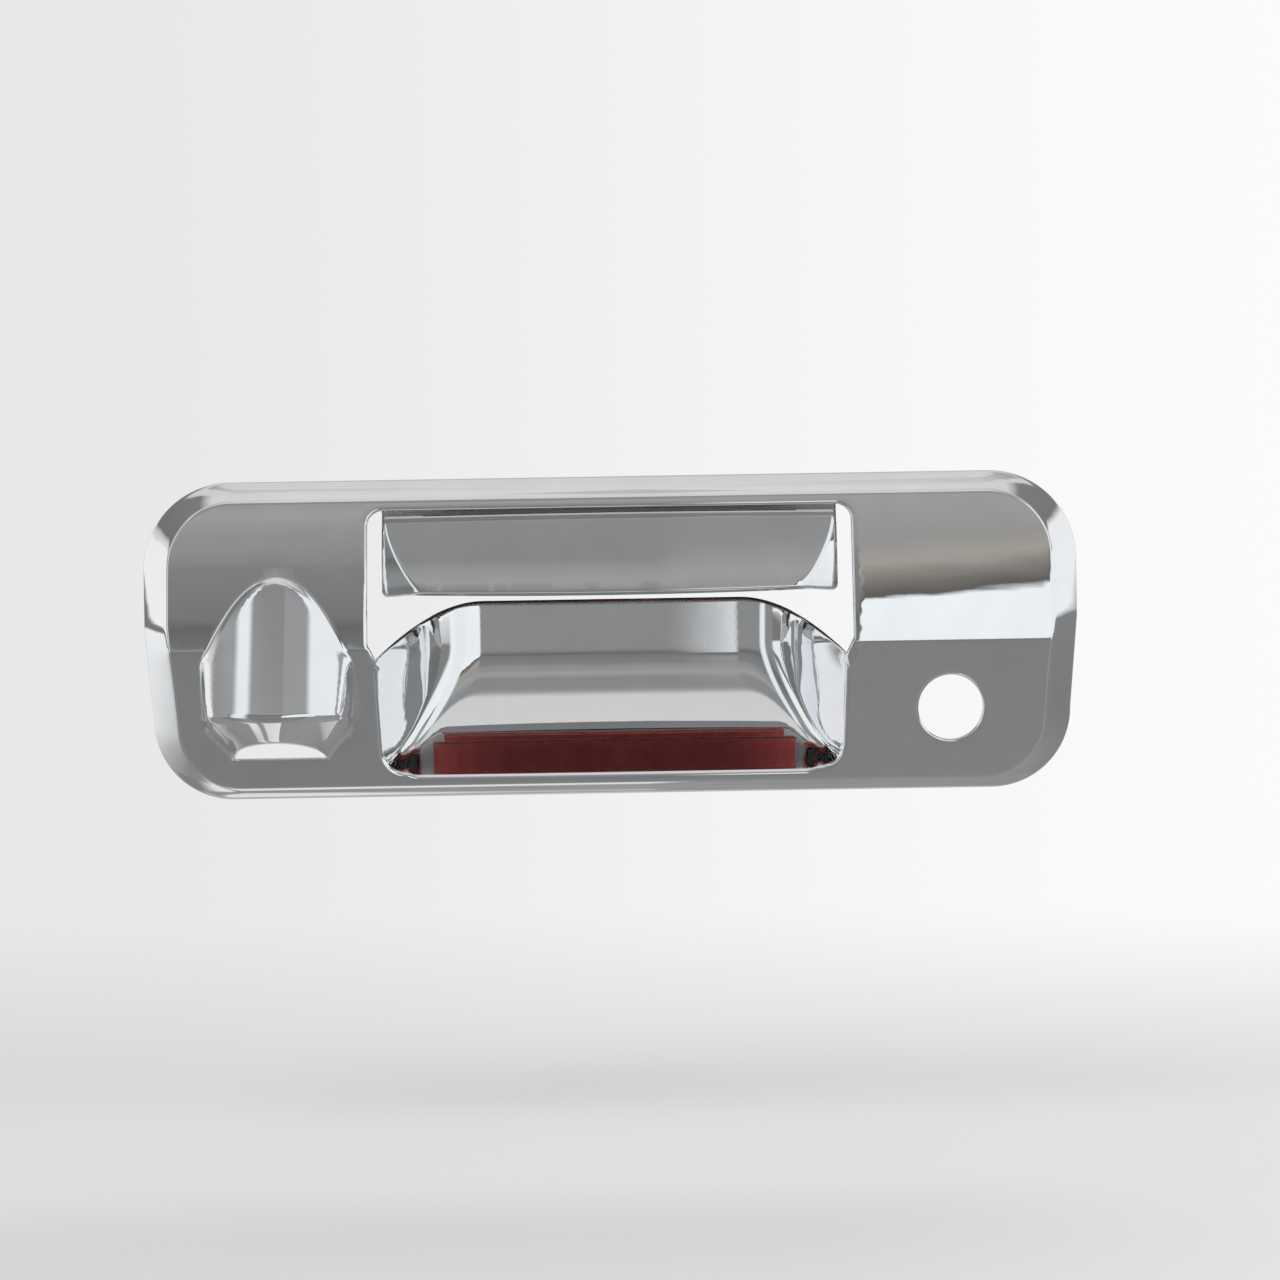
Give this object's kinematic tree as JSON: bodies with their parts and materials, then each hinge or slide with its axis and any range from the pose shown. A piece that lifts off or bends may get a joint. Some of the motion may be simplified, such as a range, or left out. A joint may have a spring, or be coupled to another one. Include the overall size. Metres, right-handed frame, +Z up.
{
  "type": "vehicle door handle assembly",
  "caption": "Wide chrome tailgate handle: bezel with camera hood, finger scoop and lock hole, and a sprung pull lever that turns a bell crank with rod clips.",
  "frame": {"origin": "centre of the bezel's outline in the plane of the tailgate skin that it seats on", "axes": "+X to the right seen from outside, +Y into the vehicle, +Z up; the front faces -Y"},
  "size_m": [0.3634, 0.0778, 0.1235],
  "materials": {
    "chrome_bezel": "bright chrome plate on moulded plastic",
    "chrome_lever": "bright chrome plate on moulded plastic",
    "black_nylon": "black glass-filled nylon, fine grain",
    "zinc_steel": "bright zinc plate",
    "spring_steel": "dark phosphated spring steel",
    "red_film": "glossy red liner film on adhesive tape",
    "rubber": "matt black rubber",
    "foam": "closed-cell foam",
    "acetal": "natural acetal"
  },
  "bodies": {
    "bezel_body": {"bezel": "chrome_bezel", "gasket": "foam", "carrier_frame": "black_nylon", "pivot_pin": "zinc_steel", "pin_clip_left": "spring_steel", "pin_clip_right": "spring_steel", "torsion_spring": "spring_steel", "bump_stop_left": "rubber", "bump_stop_right": "rubber", "crank_pin": "zinc_steel", "crank_clip": "spring_steel", "stud_1": "zinc_steel", "stud_nut_1": "zinc_steel", "carrier_screw_1": "zinc_steel", "stud_2": "zinc_steel", "stud_nut_2": "zinc_steel", "carrier_screw_2": "zinc_steel", "stud_3": "zinc_steel", "stud_nut_3": "zinc_steel", "carrier_screw_3": "zinc_steel", "stud_4": "zinc_steel", "stud_nut_4": "zinc_steel", "carrier_screw_4": "zinc_steel"},
    "lever": {"lever_cover": "chrome_lever", "lever_core": "black_nylon", "tape_lower": "red_film", "tape_middle": "red_film", "tape_upper": "red_film", "bush_left": "acetal", "bush_right": "acetal"},
    "crank": {"bell_crank": "zinc_steel", "pusher_pin": "zinc_steel"},
    "upper_rod_clip": {"rod_clip_upper": "acetal"},
    "lower_rod_clip": {"rod_clip_lower": "acetal"}
  },
  "joints": [
    {"name": "lever_hinge", "type": "hinge", "parent": "bezel_body", "child": "lever", "pos_m": [0, 0.006, 0.041], "axis": [-1, 0, 0], "range_deg": [0, 30], "stiffness_Nm_per_rad": 0.5, "springref_deg": -34.38, "deforming": ["torsion_spring"]},
    {"name": "crank_pivot", "type": "hinge", "parent": "bezel_body", "child": "crank", "pos_m": [0, 0.0325, 0.0355], "axis": [0, 1, 0], "range_deg": [0, 32]},
    {"name": "upper_clip_swivel", "type": "hinge", "parent": "crank", "child": "upper_rod_clip", "pos_m": [0, 0.0325, 0.0505], "axis": [0, 1, 0], "range_deg": [-32, 2]},
    {"name": "lower_clip_swivel", "type": "hinge", "parent": "crank", "child": "lower_rod_clip", "pos_m": [0, 0.0325, 0.0205], "axis": [0, 1, 0], "range_deg": [-32, 2]}
  ],
  "couplings": [
    {"joint": "crank_pivot", "follows": "lever_hinge", "ratio": 1},
    {"joint": "upper_clip_swivel", "follows": "lever_hinge", "ratio": -1},
    {"joint": "lower_clip_swivel", "follows": "lever_hinge", "ratio": -1}
  ]
}
